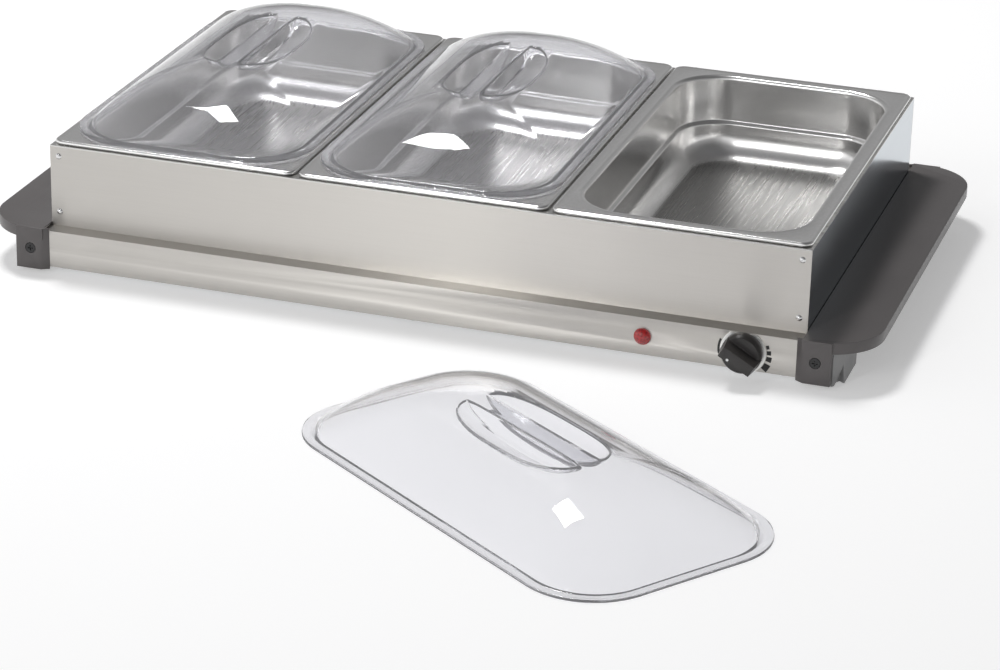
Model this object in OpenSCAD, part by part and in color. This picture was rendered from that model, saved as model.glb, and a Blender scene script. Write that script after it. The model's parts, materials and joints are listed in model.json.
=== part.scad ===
// Electric food warmer: a heated tray with a lift-off frame, three pans and clear lids.
// X runs along the front, Y to the rear and Z up. The origin is on the surface that the set
// stands on, in the middle of the ground that the warmer and the loose lid cover together.
// All lengths are in millimetres.

/* [Pans] */
// Width of a pan over its rolled rim
pan_w = 174.5; // [160:0.5:190]
// Length of a pan over its rolled rim, front to rear
pan_l = 314.5; // [290:0.5:340]
// Depth from the top of the rim to the underside of the pan
pan_depth = 60.5; // [56:0.5:80]
// Thickness of the pan's sheet
pan_t = 0.8; // [0.6:0.1:1.2]
// Width of the flat flange, with its rolled edge
flange_w = 8.5; // [7:0.5:12]
// Gap between two neighbouring pans
pan_gap = 2.2; // [1.5:0.1:6]
// Corner radius of the pan's rolled rim
rim_corner_r = 7; // [5:0.5:12]
// Corner radius of the pan's opening
mouth_r = 37; // [30:1:42]
// Height of the rolled rim above the frame
rim_h = 3.2; // [2.8:0.1:4]
// Depth below the rim of the stacking shoulder
shoulder_depth = 34; // [26:1:34]
// Width of the stacking shoulder
shoulder_w = 3; // [2:0.5:5]
// Radius where the wall runs into the bottom
bottom_r = 19; // [12:1:20]

/* [Lids] */
// Distance from the pan's edge to the lid's edge
lid_inset = 2.5; // [2:0.25:5]
// Corner radius of the lid's flange
lid_r = 46; // [38:1:50]
// Width of the lid's flange
lid_flange_w = 6.5; // [4:0.5:8]
// Wall of the lid
lid_t = 2; // [1.6:0.1:2.6]
// Height of the lid
lid_h = 36; // [30:0.5:50]
// Length of the oval dish that the fingers reach into
grip_l = 114; // [90:1:130]
// Width of that dish
grip_w = 60; // [50:1:70]
// Width of the bar across the dish
grip_bar = 15; // [12:1:20]
// Depth of the dish
grip_depth = 15; // [10:1:18]
// Distance of the loose lid's middle to the right of the warmer's middle
loose_lid_x = 147; // [100:0.5:180]
// Distance of the loose lid's middle in front of the frame
loose_lid_y = 212; // [205:0.5:260]
// Turn of the loose lid on the table
loose_lid_turn = 54.2; // [50:0.1:60]

/* [Frame] */
// Thickness of the frame's sheet
frame_t = 0.8; // [0.6:0.1:1.2]
// Clear margin in front of and behind the pans
frame_margin = 1.75; // [1:0.25:5]
// Width of the flanges folded inside the frame
frame_fold_w = 12; // [11:0.5:14]
// Head diameter of the frame's rivets
rivet_head_d = 4.4; // [3.5:0.1:5.5]
// Distance of the rivets from the panel's ends
rivet_inset_x = 6; // [5:0.5:8]
// Distance of the upper rivets from the panel's top
rivet_inset_top = 7.5; // [6:0.5:10]
// Distance of the lower rivets from the panel's bottom
rivet_inset_bottom = 10; // [6:0.5:12]

/* [Tray] */
// Width of the ledge in front of and behind the frame
ledge_w = 12.5; // [10:0.5:25]
// Height of the tray's front
tray_h = 26; // [26:0.5:34]
// Height of the tray's lower edge above the table
tray_lift = 4.5; // [3:0.5:10]
// Thickness of the tray's sheet
tray_t = 0.8; // [0.7:0.1:1.2]
// Thickness of the bottom plate
bottom_plate_t = 0.8; // [0.6:0.1:1.2]
// Thickness of a bottom screw
bottom_screw_d = 3; // [2.5:0.1:4]

/* [Handles] */
// Reach of a handle beyond the frame's side
handle_reach = 46.5; // [40:0.5:60]
// Depth of the handle's edge
handle_edge_h = 8; // [7:0.5:11]
// Wall of the handle moulding
handle_t = 3; // [2.5:0.1:3.5]
// Height of the handle's top above the tray's top
handle_rise = 2; // [1.5:0.1:3]
// Radius of the handle's outer corners
handle_corner_r = 38; // [20:1:40]
// Width of the brackets at the ends of a handle
bracket_w = 20; // [18:0.5:22]
// Thickness of the brackets in front of the tray
bracket_t = 3.3; // [2.8:0.1:5]
// Clear height under the brackets
bracket_lift = 2.5; // [1.5:0.5:2.5]
// Head diameter of the handle screws
handle_screw_head_d = 7; // [5:0.5:8]
// Shank diameter of the handle screws
handle_screw_d = 3.5; // [3:0.1:4.2]
// Width of a foot
foot_w = 9; // [7:0.5:10]
// Depth of a foot, front to rear
foot_d = 43; // [30:1:60]

/* [Controls] */
// Distance of the knob's axis from the frame's right side
knob_from_side = 38.5; // [36:0.5:60]
// Diameter of the knob's skirt
knob_d = 27; // [24:0.5:28]
// Height of the knob's skirt
knob_skirt_h = 4.5; // [4:0.5:6]
// Height of the knob over its grip
knob_h = 17.5; // [15.5:0.5:22]
// Width of the knob's grip at its foot
knob_grip_w = 9.6; // [8:0.2:12]
// Turn of the knob from the lowest to the highest heat
knob_travel = 230; // [180:5:270]
// Diameter of the bright ring behind the knob
dial_ring_d = 30.5; // [28:0.5:31]
// Diameter of the thermostat's shaft
shaft_d = 6; // [5:0.5:7]
// Diameter of the thermostat's threaded bush
bush_d = 10; // [9:0.5:11]
// Distance of the lamp from the knob's axis
lamp_from_knob = 67.4; // [50:0.1:120]
// Diameter of the lamp's lens
lamp_d = 11.4; // [9:0.2:13]
// Diameter of the cord's hole in its gland
cord_d = 7; // [6:0.1:8]

/* [Heating] */
// Diameter of the heating element's tube
element_d = 6.4; // [5:0.1:7]
// Distance between the element's parallel legs
element_pitch = 62; // [45:1:66]
// Thickness of the heat spreader
spreader_t = 2; // [1.5:0.1:2.5]
// Thickness of the insulation pad
pad_t = 5; // [3:0.5:5]
// Diameter of the studs that hold the heat spreader
stud_d = 4; // [3:0.5:5]

/* [Hidden] */
$fn = 48;

// Clearances
seat_gap = 0.3;        // clear gap between pieces that rest or pass close by
rest_gap = 0.1;        // gap under a curved rim that rests on a flat face
play = 0.05;           // radial clearance of a running fit
proud = 0.5;           // how far a cutting body runs past what it cuts

// Frame and tray, worked out from the pans that they hold
pan_count = 3;
pan_pitch = pan_w + pan_gap;
frame_w = pan_count * pan_pitch;
frame_d = pan_l + 2 * frame_margin;
frame_h = pan_depth - rim_h + seat_gap;
side_x = frame_w / 2;
tray_d = frame_d + 2 * ledge_w;
tray_top = tray_lift + tray_h;
tray_under = tray_top - tray_t;
frame_top_z = tray_top + frame_h;
rim_z = frame_top_z + rim_h;

// Lids
lid_w = pan_w - 2 * lid_inset;
lid_l = pan_l - 2 * lid_inset;
lid_z = rim_z + rest_gap;

// The set's ground has its middle at the origin
lid_reach_y = (lid_w / 2 - lid_r) * abs(sin(loose_lid_turn))
    + (lid_l / 2 - lid_r) * abs(cos(loose_lid_turn)) + lid_r;
set_front = -loose_lid_y - lid_reach_y;
set_rear = frame_d + ledge_w + bracket_t;
frame_front = -(set_front + set_rear) / 2;
frame_rear = frame_front + frame_d;
frame_mid = frame_front + frame_d / 2;
tray_front = frame_front - ledge_w;
tray_rear = frame_rear + ledge_w;

// Handles
handle_top = tray_top + handle_rise;
handle_under = handle_top - handle_edge_h;
handle_len = tray_d + 2 * bracket_t;
tray_end_in = 14;      // length of tray that runs on under each handle
tray_end_x = side_x + tray_end_in;
handle_screw_x = side_x + 9.5;
bracket_bevel_in = 3.5;   // where a bracket's bevel meets the tray, inward of the frame's side
bracket_bevel_out = 2;    // where it meets the bracket's front, outward of the frame's side

// Controls
knob_x = side_x - knob_from_side;
lamp_x = knob_x - lamp_from_knob;
control_z = tray_lift + tray_h / 2;
ring_t = 1.2;
nut_h = 2;
bush_out = ring_t + nut_h + 0.6;
knob_back = tray_front - ring_t - seat_gap;
knob_recess_d = 19;
knob_recess_h = 3.4;
grip_angle = 330.5;    // direction of the grip's lower end at the lowest setting, in the front view
crest_l = 23.5;        // length of the grip's crest
crest_narrower = 1.6;  // how much narrower the crest is than the grip's foot
dot_along = 5.3;       // distance of the dot from the grip's middle, towards its upper end
dot_across = 2.6;      // distance of the dot from the crest's middle line
dot_d = 1.8;
dot_sink = 0.7;
shaft_flat = 1;
shaft_in = 10;
shaft_out = 12;
thermostat_d = 21;
thermostat_l = 20;
lens_rim_h = 1;

// Heating parts, stacked down from the underside of the tray's top
layer_gap = 0.1;
spreader_top = tray_under - layer_gap;
spreader_under = spreader_top - spreader_t;
element_z = spreader_under - element_d / 2 - layer_gap;
clip_t = 0.8;
pad_top = element_z - element_d / 2 - clip_t - 2 * layer_gap;
pad_under = pad_top - pad_t;
spreader_side_room = 30;    // room between the spreader and the frame's left and right sides
spreader_end_room = 25;     // room between the spreader and the frame's front and rear
spreader_w = frame_w - 2 * spreader_side_room;
spreader_d = frame_d - 2 * spreader_end_room;
element_legs = 4;
element_end = 85;      // room at each end of the legs
element_leg_l = frame_w - 2 * element_end;
element_turn_r = element_pitch / 2;
stud_side_inset = 10;  // distance of the studs from the spreader's left and right edges
stud_end_inset = 12;   // distance of the studs from its front and rear edges
stud_x = spreader_w / 2 - stud_side_inset;
stud_y = spreader_d / 2 - stud_end_inset;
stud_nut_h = 2.4;
wire_d = 2.4;

// ---------- outlines and helpers ----------

// Points of one rounded corner, a quarter turn from the angle given
function corner(cx, cy, r, start, steps) =
    [for (i = [0:steps]) [cx + r * cos(start + 90 * i / steps), cy + r * sin(start + 90 * i / steps)]];

// Points of a rounded rectangle with half sizes a and b and corner radius r
function ring(a, b, r, steps) = concat(
    corner(a - r, b - r, r, 0, steps),
    corner(-a + r, b - r, r, 90, steps),
    corner(-a + r, -b + r, r, 180, steps),
    corner(a - r, -b + r, r, 270, steps)
);

// Solid skin through a list of rings of points, with a flat cap on the first ring facing down
// and on the last ring facing up
module skin(rings) {
    count = len(rings[0]);
    last = len(rings) - 1;
    walls = [for (k = [0:last - 1]) for (i = [0:count - 1])
        let (j = (i + 1) % count)
        [k * count + i, (k + 1) * count + i, (k + 1) * count + j, k * count + j]];
    first_cap = [for (i = [0:count - 1]) i];
    last_cap = [for (i = [count - 1:-1:0]) last * count + i];
    polyhedron([for (k = rings) each k], concat([first_cap], walls, [last_cap]), convexity = 8);
}

// Skin through rounded rectangles, each [half width, half length, corner radius, height]
module loft(rings, steps) {
    skin([for (k = rings) [for (p = ring(k[0], k[1], k[2], steps)) [p[0], p[1], k[3]]]]);
}

// Box given by its low and high corners
module box(low, high) {
    translate(low) cube(high - low);
}

// Cylinder that starts at a point and runs towards the front
module forward(x, y, z, d, l) {
    translate([x, y, z]) rotate([90, 0, 0]) cylinder(d = d, h = l);
}

// Hexagonal nut around a bore, its lower face at the origin
module nut(across, h, bore) {
    difference() {
        cylinder(d = across / cos(30), h = h, $fn = 6);
        translate([0, 0, -proud]) cylinder(d = bore, h = h + 2 * proud);
    }
}

// Cross-head screw with the underside of its head at the origin and its shank along -Z
module screw(head_d, head_h, d, l) {
    recess = head_d * 0.55;
    difference() {
        union() {
            cylinder(d = head_d, h = head_h);
            translate([0, 0, -l]) cylinder(d = d, h = l);
        }
        translate([0, 0, head_h])
            for (a = [0, 90])
                rotate(a) cube([recess, recess / 4, head_h], center = true);
    }
}

// ---------- tray ----------

lip_w = 10;            // width of the tray's inward lower lips
lip_z = tray_lift + bottom_plate_t;
bottom_screw_spots = [for (k = [-1, 0, 1], s = [-1, 1])
    [k * (side_x - 12), frame_mid + s * (tray_d / 2 - lip_w / 2 - 1)]];

// The tray is one folded sheet: a flat heated top, a turned-down front and rear, and lower lips
module tray_shell() color("gainsboro") difference() {
    union() {
        box([-tray_end_x, tray_front, tray_under], [tray_end_x, tray_rear, tray_top]);
        for (y = [tray_front, tray_rear - tray_t])
            box([-tray_end_x, y, tray_lift], [tray_end_x, y + tray_t, tray_top]);
        for (y = [tray_front, tray_rear - lip_w])
            box([-tray_end_x, y, lip_z], [tray_end_x, y + lip_w, lip_z + tray_t]);
    }
    forward(knob_x, tray_front + 2, control_z, bush_d + 2 * play, 4);
    forward(lamp_x, tray_front + 2, control_z, lamp_neck_d + 2 * play, 4);
    forward(gland_x, tray_rear + 2, control_z, gland_d + 2 * play, 4);
    for (s = [-1, 1], y = [tray_front, tray_rear])
        forward(s * handle_screw_x, y + 2, control_z, handle_screw_d + 2 * play, 4);
    for (p = bottom_screw_spots)
        translate([p[0], p[1], lip_z - 1]) cylinder(d = bottom_screw_d + 2 * play, h = 4);
    translate([earth_x, tray_rear - 2, control_z]) rotate([-90, 0, 0])
        cylinder(d = earth_d + 2 * play, h = 4);
}

// The bottom plate closes the tray from below and has two fields of vent slots
vent_rows = 7;
vent_pitch = 12;
vent_l = 60;
vent_w = 4;
module bottom_plate() color("silver") difference() {
    box([-side_x, tray_front + tray_t + seat_gap, tray_lift],
        [side_x, tray_rear - tray_t - seat_gap, lip_z]);
    for (s = [-1, 1], i = [0:vent_rows - 1])
        translate([s * side_x / 2, frame_mid + (i - (vent_rows - 1) / 2) * vent_pitch, tray_lift])
            cube([vent_l, vent_w, vent_w], center = true);
    for (p = bottom_screw_spots)
        translate([p[0], p[1], tray_lift - 1]) cylinder(d = bottom_screw_d + 2 * play, h = 4);
}

module bottom_screws() color("silver")
    for (p = bottom_screw_spots)
        translate([p[0], p[1], tray_lift]) mirror([0, 0, 1])
            screw(2 * bottom_screw_d, 1.6, bottom_screw_d, 6);

// ---------- heating ----------

stud_spots = [for (sx = [-1, 0, 1], sy = [-1, 1]) [sx * stud_x, frame_mid + sy * stud_y]];

module stud_holes(low, high) {
    for (p = stud_spots)
        translate([p[0], p[1], low - 1]) cylinder(d = stud_d + 2 * play, h = high - low + 2);
}

module heat_spreader() color("lightgrey") difference() {
    box([-spreader_w / 2, frame_mid - spreader_d / 2, spreader_under],
        [spreader_w / 2, frame_mid + spreader_d / 2, spreader_top]);
    stud_holes(spreader_under, spreader_top);
}

// Studs welded under the tray's top carry the spreader and the pad
module spreader_studs() color("silver")
    for (p = stud_spots)
        translate([p[0], p[1], pad_under - stud_nut_h - 1.5])
            cylinder(d = stud_d, h = tray_under - pad_under + stud_nut_h + 1.5);

module stud_nuts() color("silver")
    for (p = stud_spots)
        translate([p[0], p[1], pad_under - stud_nut_h - layer_gap])
            nut(1.75 * stud_d, stud_nut_h, stud_d + 2 * play);

// The element is one tube that runs forth and back in four legs, which end inside its bends
module heating_element() color("dimgray") {
    for (i = [0:element_legs - 1])
        translate([-element_leg_l / 2 - bend_lap, element_leg_y(i), element_z]) rotate([0, 90, 0])
            cylinder(d = element_d - bend_step,
                h = element_leg_l + bend_lap + (is_outer(i) ? element_tail : bend_lap));
    for (i = [0:element_legs - 2])
        translate([(i % 2 == 0 ? -1 : 1) * element_leg_l / 2, element_leg_y(i) + element_turn_r, element_z])
            rotate(i % 2 == 0 ? 90 : -90)
                rotate_extrude(angle = 180) translate([element_turn_r, 0]) circle(d = element_d);
}
bend_lap = 1;
bend_step = 0.1;       // the legs are this much thinner than the bends
element_tail = (spreader_w - element_leg_l) / 2 + 6;
function element_leg_y(i) = frame_mid + (i - (element_legs - 1) / 2) * element_pitch;
function is_outer(i) = i == 0 || i == element_legs - 1;

// Saddle clips press the element's legs against the spreader
clip_w = 10;
clip_spots = [for (i = [0:element_legs - 1], s = [-1, 1]) [s * element_leg_l / 3, element_leg_y(i)]];
module element_clips() color("silver")
    for (p = clip_spots)
        translate([p[0] - clip_w / 2, p[1], element_z]) difference() {
            union() {
                rotate([0, 90, 0]) cylinder(r = element_d / 2 + clip_t + layer_gap, h = clip_w);
                box([0, -element_d - 5, element_d / 2 - clip_t], [clip_w, element_d + 5, element_d / 2]);
            }
            translate([-1, 0, 0]) rotate([0, 90, 0])
                cylinder(r = element_d / 2 + layer_gap, h = clip_w + 2);
            box([-1, -element_d, element_d / 2], [clip_w + 1, element_d, element_d]);
            box([-1, -element_d / 2, 0], [clip_w + 1, element_d / 2, element_d]);
        }

module insulation_pad() color("beige") difference() {
    box([-spreader_w / 2, frame_mid - spreader_d / 2, pad_under],
        [spreader_w / 2, frame_mid + spreader_d / 2, pad_top]);
    stud_holes(pad_under, pad_top);
}

// A cut-out fuse lies against the spreader beside the second leg
fuse_d = 5;
module thermal_fuse() color("tan")
    translate([30, frame_mid + 14, spreader_under - fuse_d / 2 - layer_gap]) rotate([0, 90, 0]) {
        cylinder(d = fuse_d, h = 22);
        translate([0, 0, -6]) cylinder(d = 1.2, h = 34);
    }

// ---------- controls ----------

thermostat_front = tray_front + tray_t;
tab_x = 6;             // distance of the thermostat's terminal tabs from its axis
tab_w = 5;
tab_l = 5;
tab_t = 1;
module thermostat_body() color("linen") difference() {
    union() {
        forward(knob_x, thermostat_front + thermostat_l, control_z, thermostat_d, thermostat_l);
        forward(knob_x, thermostat_front + 1, control_z, bush_d, 1 + tray_t + bush_out);
        for (s = [-1, 1])
            box([knob_x + s * tab_x - tab_w / 2, thermostat_front + thermostat_l, control_z - tab_t],
                [knob_x + s * tab_x + tab_w / 2, thermostat_front + thermostat_l + tab_l, control_z]);
    }
    forward(knob_x, thermostat_front + shaft_in, control_z, shaft_d + 2 * play,
        shaft_in + tray_t + bush_out + 1);
}

module thermostat_nut() color("silver")
    translate([knob_x, tray_front - ring_t, control_z]) rotate([90, 0, 0])
        nut(14, nut_h, bush_d + 2 * play);

module thermostat_shaft() color("silver") difference() {
    forward(knob_x, thermostat_front + shaft_in - seat_gap, control_z, shaft_d,
        shaft_in - seat_gap + tray_t + shaft_out);
    box([knob_x - shaft_d, tray_front - shaft_out - 1, control_z + shaft_d / 2 - shaft_flat],
        [knob_x + shaft_d, tray_front - bush_out - seat_gap, control_z + shaft_d]);
}

// The bright ring behind the knob is cut off level with the tray's edges
module dial_ring() color("silver")
    translate([knob_x, tray_front, control_z]) rotate([90, 0, 0]) difference() {
        intersection() {
            cylinder(d = dial_ring_d, h = ring_t);
            box([-dial_ring_d, -tray_h / 2 + 0.5, -1], [dial_ring_d, tray_h / 2 - 0.5, ring_t + 1]);
        }
        translate([0, 0, -1]) cylinder(d = bush_d + 2 * play, h = ring_t + 2);
    }

// Printed marks that grow with the heat, each [from angle, to angle, width]
scale_in = dial_ring_d / 2 + 0.4;
scale_marks = [
    [194, 157, 1.5], [21, 12.5, 2.1], [8, -1.5, 2.8], [-5.5, -17, 3.6], [-23, -39, 4.3]
];
scale_t = 0.15;
function arc(r, from, to, steps) = [for (i = [0:steps]) let (a = from + (to - from) * i / steps)
    [r * cos(a), r * sin(a)]];
module dial_scale() color("black")
    translate([knob_x, tray_front, control_z]) rotate([90, 0, 0])
        for (m = scale_marks)
            linear_extrude(scale_t)
                polygon(concat(arc(scale_in, m[0], m[1], 6), arc(scale_in + m[2], m[1], m[0], 6)));

// The knob has a round skirt and a grip across it that narrows towards its crest
module control_knob() color("dimgray")
    translate([knob_x, knob_back, control_z]) rotate([90, 0, 0]) difference() {
        union() {
            cylinder(d = knob_d, h = knob_skirt_h);
            translate([0, 0, knob_skirt_h]) cylinder(d1 = knob_d, d2 = knob_d - 3, h = 2.5);
            rotate(grip_angle) knob_grip();
        }
        translate([0, 0, -proud]) cylinder(d = knob_recess_d, h = knob_recess_h + proud);
        translate([0, 0, -proud])
            cylinder(d = shaft_d + 2 * play, h = shaft_out - ring_t - seat_gap + 0.5 + proud);
        rotate(grip_angle) translate([-dot_along, -dot_across, knob_h - dot_sink])
            cylinder(d = dot_d + 2 * play, h = 2 * dot_sink);
    }

// The grip is a long block with leaning sides and ends
module knob_grip() intersection() {
    rotate([90, 0, 0]) translate([0, 0, -knob_d / 2]) linear_extrude(knob_d)
        grip_outline(knob_d - 2 * seat_gap, crest_l);
    rotate([90, 0, 90]) translate([0, 0, -knob_d / 2]) linear_extrude(knob_d)
        grip_outline(knob_grip_w, knob_grip_w - crest_narrower);
}

// Upright outline of the grip, with its widths at the foot and at the crest
module grip_outline(base_w, crest_w) {
    base_z = knob_skirt_h - 1;
    polygon([[-base_w / 2, base_z], [base_w / 2, base_z], [crest_w / 2, knob_h], [-crest_w / 2, knob_h]]);
}

module knob_dot() color("white")
    translate([knob_x, knob_back, control_z]) rotate([90, 0, 0])
        rotate(grip_angle) translate([-dot_along, -dot_across, knob_h - dot_sink])
            cylinder(d = dot_d, h = dot_sink);

lamp_neck_d = lamp_d - 2;
lamp_len = 16;
lamp_tab_x = 2.5;      // distance of the lamp's terminal tabs from its axis
lamp_tab_t = 0.8;
module lamp_lens() color("red")
    translate([lamp_x, tray_front, control_z]) rotate([90, 0, 0]) {
        cylinder(d = lamp_d, h = lens_rim_h);
        translate([0, 0, lens_rim_h]) intersection() {
            translate([0, 0, 3 - lamp_d / 2 * 1.1]) sphere(d = lamp_d * 1.1);
            cylinder(d = lamp_d, h = lamp_d);
        }
    }

module lamp_holder() color("whitesmoke") {
    forward(lamp_x, tray_front + lamp_len, control_z, lamp_neck_d, lamp_len);
    for (s = [-1, 1])
        box([lamp_x + s * lamp_tab_x - lamp_tab_t / 2, tray_front + lamp_len, control_z - 1.5],
            [lamp_x + s * lamp_tab_x + lamp_tab_t / 2, tray_front + lamp_len + tab_l, control_z + 1.5]);
}

module lamp_clip() color("silver")
    translate([lamp_x, tray_front + tray_t + 0.8, control_z]) rotate([90, 0, 0]) difference() {
        cylinder(d = lamp_d + 3, h = 0.8);
        translate([0, 0, -1]) cylinder(d = lamp_neck_d + 2 * play, h = 3);
    }

// ---------- supply ----------

gland_from_side = 60;  // distance of the gland's axis from the tray's right side
gland_x = side_x - gland_from_side;
gland_d = 12;
gland_rim_h = 3;       // how far the gland stands out behind the tray
gland_len = 12;
module cord_gland() color("dimgray") difference() {
    union() {
        forward(gland_x, tray_rear + gland_rim_h, control_z, gland_d + 5, gland_rim_h);
        forward(gland_x, tray_rear, control_z, gland_d, gland_len);
    }
    forward(gland_x, tray_rear + gland_rim_h + 1, control_z, cord_d, gland_len + gland_rim_h + 2);
}

module gland_nut() color("dimgray")
    translate([gland_x, tray_rear - tray_t, control_z]) rotate([90, 0, 0])
        nut(gland_d + 5, 4, gland_d + 2 * play);

block_from_gland = 52; // distance of the block's middle from the gland's axis
block_x = gland_x - block_from_gland;
block_y = tray_rear - 21;
block_pitch = 11;      // distance between the block's poles
block_w = 3.3 * block_pitch;
block_d = 14;
block_h = 14;
module terminal_block() color("ivory") difference() {
    box([block_x - block_w / 2, block_y - block_d / 2, lip_z],
        [block_x + block_w / 2, block_y + block_d / 2, lip_z + block_h]);
    for (k = [-1, 0, 1])
        translate([block_x + k * block_pitch, block_y, lip_z + block_h - 6]) cylinder(d = 4, h = block_h);
}

earth_from_gland = 26; // distance of the earth stud from the gland's axis
earth_x = gland_x - earth_from_gland;
earth_d = 4;
module earth_stud() color("goldenrod")
    translate([earth_x, tray_rear, control_z]) rotate([90, 0, 0]) {
        translate([0, 0, -1.6]) cylinder(d = 7, h = 1.6);
        cylinder(d = earth_d, h = 9);
        translate([0, 0, tray_t]) nut(7, 3, earth_d);
    }

// Insulated wire along straight runs that overlap a little at every bend
wire_lap = 0.9;
module wire(points) {
    last = len(points) - 2;
    for (i = [0:last]) {
        run = points[i + 1] - points[i];
        lap_before = i == 0 ? 0 : wire_lap;
        lap_after = i == last ? 0 : wire_lap;
        translate(points[i])
            rotate([0, acos(run[2] / norm(run)), atan2(run[1], run[0])])
                translate([0, 0, -lap_before])
                    cylinder(d = wire_d, h = norm(run) + lap_before + lap_after, $fn = 24);
    }
}

// Wires lie on the bottom plate under the pad and rise to the block, thermostat, lamp and element
wire_z = lip_z + tray_t + 2;
wires_from_front = 40; // distance of the long wires from the frame's front
wire_front = frame_front + wires_from_front;
wire_rear = block_y - block_d / 2 - 5;
wire_end = block_y - block_d / 2 - seat_gap;
element_end_x = element_leg_l / 2 + element_tail;
element_wire_x = element_end_x + 8;
module wiring() color("firebrick") {
    wire([[knob_x - tab_x, thermostat_front + thermostat_l + tab_l + seat_gap, control_z - tab_t / 2],
        [knob_x - tab_x, wire_front, wire_z], [block_x + block_pitch, wire_rear, wire_z],
        [block_x + block_pitch, wire_end, wire_z]]);
    wire([[lamp_x + lamp_tab_x, tray_front + lamp_len + tab_l + seat_gap, control_z],
        [lamp_x + lamp_tab_x, wire_front, wire_z], [block_x - block_pitch, wire_rear, wire_z],
        [block_x - block_pitch, wire_end, wire_z]]);
    wire([[element_end_x + seat_gap, element_leg_y(0), element_z],
        [element_wire_x, element_leg_y(0), element_z],
        [element_wire_x, element_leg_y(element_legs - 1), element_z],
        [element_end_x + seat_gap, element_leg_y(element_legs - 1), element_z]]);
}

// ---------- handles ----------

// Plan of a handle's shelf, straight along the frame and round at its outer corners.
// It is drawn for the right handle, with the frame's side at X = 0 and the tray's middle at Y = 0.
module shelf_plan(inset) {
    r = handle_corner_r - inset;
    w = handle_reach - inset;
    half = handle_len / 2 - inset;
    intersection() {
        translate([seat_gap, -half]) square([w, 2 * half]);
        union() {
            translate([seat_gap, -half]) square([w - r - seat_gap, 2 * half]);
            translate([seat_gap, -half + r]) square([w - seat_gap, 2 * (half - r)]);
            for (s = [-1, 1])
                translate([w - r, s * (half - r)]) circle(r, $fn = 96);
        }
    }
}

// Bracket at one end of the handle, with a bevel where it meets the tray's front
module bracket_block() {
    translate([0, 0, bracket_lift]) linear_extrude(handle_top - bracket_lift)
        polygon([
            [-bracket_bevel_in, -tray_d / 2], [bracket_bevel_out, -handle_len / 2],
            [bracket_w, -handle_len / 2],
            [bracket_w, -tray_d / 2 + handle_t], [tray_end_in + seat_gap, -tray_d / 2 + handle_t],
            [tray_end_in + seat_gap, -tray_d / 2]
        ]);
}

// Moulded handle: a hollow shelf, a wall that closes the tray's end, and a bracket at each corner
module handle_moulding() {
    wall_in = tray_end_in + seat_gap;
    difference() {
        union() {
            translate([0, 0, handle_under]) linear_extrude(handle_edge_h) shelf_plan(0);
            box([wall_in, -tray_d / 2, lip_z], [wall_in + handle_t, tray_d / 2, handle_top - 1]);
            for (s = [0, 1])
                mirror([0, s, 0]) bracket_block();
        }
        difference() {
            translate([0, 0, handle_under - proud])
                linear_extrude(handle_edge_h - handle_t + proud) shelf_plan(handle_t);
            box([-1, -handle_len, 0], [wall_in + handle_t, handle_len, handle_top]);
        }
        box([-bracket_bevel_in - 1, -tray_d / 2, 0], [wall_in, tray_d / 2, tray_top]);
        for (y = [-handle_len / 2, tray_d / 2])
            forward(handle_screw_x - side_x, y + bracket_t + 1, control_z,
                handle_screw_d + 2 * play, bracket_t + 2);
        for (s = [-1, 1])
            forward(handle_screw_x - side_x, s * handle_len / 2 + screw_sink, control_z,
                handle_screw_head_d + 2 * seat_gap, 2 * screw_sink);
    }
}
screw_sink = 1.6;      // depth of the recess round each handle screw's head

module right_handle() color("dimgray")
    translate([side_x, frame_mid, 0]) handle_moulding();

module left_handle() color("dimgray")
    translate([-side_x, frame_mid, 0]) mirror([1, 0, 0]) handle_moulding();

// Each handle is held by a screw through each bracket into the tray
module handle_screws() color("dimgray")
    for (sx = [-1, 1], sy = [0, 1])
        translate([sx * handle_screw_x, frame_mid, control_z]) mirror([0, sy, 0])
            translate([0, -handle_len / 2 + screw_sink, 0]) rotate([90, 0, 0])
                screw(handle_screw_head_d, screw_sink - 0.1, handle_screw_d, 8);

// A foot stands behind each bracket, against the wall of the handle. It is a narrow block whose
// front outer corner is bevelled, with a notch at the bottom of the bevel.
foot_in = tray_end_in + handle_t + 2 * seat_gap;
foot_out = foot_in + foot_w;
foot_bevel_d = 8.7;    // how far back the bevel runs
notch_h = 13;
notch_d = 4;
notch_edge = 0.8;      // strip left between the notch and the bevel's outer edge
notch_start = 2;       // strip left at the bevel's inner edge
module foot() {
    start = bracket_w + seat_gap;
    front = -handle_len / 2 + bracket_t + handle_t + seat_gap;
    bevel_l = norm([foot_out - start, foot_bevel_d]);
    difference() {
        linear_extrude(handle_top - handle_t - seat_gap)
            polygon([
                [foot_in, front], [start, front], [foot_out, front + foot_bevel_d],
                [foot_out, front + foot_d], [foot_in, front + foot_d]
            ]);
        translate([start, front, 0]) rotate(atan2(foot_bevel_d, foot_out - start))
            translate([0, notch_d, 0]) rotate([90, 0, 0]) linear_extrude(2 * notch_d)
                polygon([
                    [notch_start, -proud], [bevel_l - notch_edge, -proud],
                    [bevel_l - notch_edge, 0], [bevel_l - 2 * notch_edge, notch_h], [notch_start, 0]
                ]);
    }
}
module feet() color("darkgray")
    for (sx = [0, 1], sy = [0, 1])
        translate([0, frame_mid, 0]) mirror([sx, 0, 0]) mirror([0, sy, 0])
            translate([side_x, 0, 0]) foot();

// ---------- frame ----------

// The front and rear panels have a fold along the top, which the frame's top lies on
panel_top = frame_top_z - frame_t;
rivet_shank_d = 2.4;
rivet_xs = [-side_x + rivet_inset_x, side_x - rivet_inset_x];
rivet_zs = [tray_top + rivet_inset_bottom, frame_top_z - rivet_inset_top];

module rivet_holes() {
    for (x = rivet_xs, z = rivet_zs, y = [frame_front, frame_rear])
        forward(x, y + 4, z, rivet_shank_d + 2 * play, 8);
}

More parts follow.
